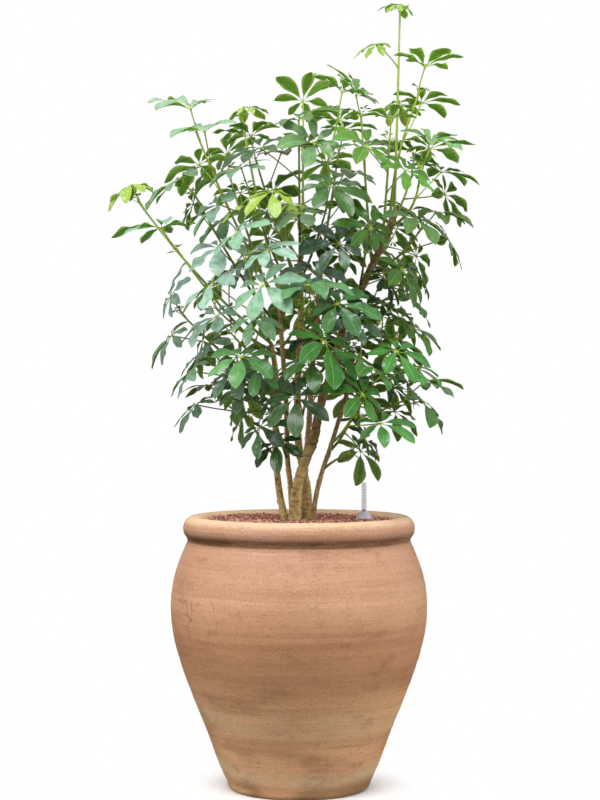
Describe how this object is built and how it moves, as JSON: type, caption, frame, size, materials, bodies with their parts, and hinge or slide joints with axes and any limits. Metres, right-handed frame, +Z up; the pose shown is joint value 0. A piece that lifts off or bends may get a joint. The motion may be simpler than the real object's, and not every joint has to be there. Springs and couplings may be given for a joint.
{
  "type": "potted umbrella plant",
  "caption": "Umbrella plant with woody stems and palmate leaves, grown in clay granulate with a water gauge, in a bellied terracotta pot with a rolled rim.",
  "frame": {"origin": "centre of the pot's flat underside, on the floor", "axes": "+Z up along the pot's axis, +X to the right as the picture shows it, -Y towards the viewer"},
  "size_m": [0.7227, 0.6018, 1.5251],
  "materials": {
    "terracotta": "matte, unglazed, with fine throwing lines and pale lime bloom",
    "clay_granulate": "matte red-brown fired clay pebbles",
    "bark": "tan to olive-brown bark with ring scars",
    "leaf_mature": "glossy dark green leaflets with paler midribs",
    "leaf_fresh": "satin mid green leaflets with paler midribs",
    "leaf_young": "soft lime to yellow-green young leaflets",
    "gauge_grey": "smooth moulded grey plastic",
    "gauge_clear": "clear to milky plastic tube",
    "gauge_red": "smooth red plastic float"
  },
  "bodies": {
    "planted_pot": {"pot": "terracotta", "clay_granulate": "clay_granulate", "gauge_body": "gauge_grey", "gauge_tube": "gauge_clear", "stem_left": "bark", "stem_inner": "bark", "stem_main": "bark", "stem_centre": "bark", "stem_right": "bark", "stem_back": "bark", "shoot_top_leader": "leaf_young", "shoot_top_right": "leaf_fresh", "shoot_top_right_back": "leaf_mature", "shoot_upper_right_front": "leaf_fresh", "shoot_upper_right_high": "leaf_fresh", "shoot_upper_middle": "leaf_fresh", "shoot_upper_middle_left": "leaf_mature", "shoot_upper_middle_high": "leaf_fresh", "shoot_upper_centre_back": "leaf_mature", "shoot_left_top": "leaf_fresh", "shoot_left_top_tall": "leaf_young", "shoot_left_top_back": "leaf_mature", "shoot_left_upper": "leaf_mature", "shoot_middle_left_upper": "leaf_mature", "shoot_centre_lime": "leaf_young", "shoot_centre_upper_front": "leaf_mature", "shoot_front_left_pale": "leaf_fresh", "shoot_left_pale": "leaf_fresh", "shoot_far_left": "leaf_young", "shoot_left_middle_pale": "leaf_fresh", "shoot_front_centre_pale": "leaf_fresh", "shoot_left_middle": "leaf_mature", "shoot_left_middle_back": "leaf_mature", "shoot_left_low": "leaf_mature", "shoot_left_lower": "leaf_mature", "shoot_left_low_back": "leaf_mature", "shoot_left_bottom": "leaf_mature", "shoot_front_low": "leaf_mature", "shoot_front_low_left": "leaf_mature", "shoot_front_right_bright": "leaf_fresh", "shoot_right_low_front": "leaf_fresh", "shoot_right_low": "leaf_mature", "shoot_right_bottom": "leaf_mature", "shoot_right_bottom_back": "leaf_mature", "shoot_right_middle": "leaf_mature", "shoot_right_middle_front": "leaf_mature", "shoot_right_outer": "leaf_mature", "shoot_right_middle_back": "leaf_mature", "shoot_right_upper": "leaf_mature", "shoot_right_upper_front": "leaf_mature", "shoot_right_upper_back": "leaf_mature", "shoot_back_middle": "leaf_mature", "shoot_back_low": "leaf_mature", "shoot_back_upper": "leaf_mature", "shoot_right_low_back": "leaf_mature", "shoot_middle_front": "leaf_mature", "shoot_left_middle_high": "leaf_mature", "shoot_top_leader_side": "leaf_fresh"},
    "water_float": {"gauge_float": "gauge_red"}
  },
  "joints": [
    {"name": "float_rise", "type": "slide", "parent": "planted_pot", "child": "water_float", "axis": [0, 0, 1], "range_m": [0, 0.045]}
  ]
}
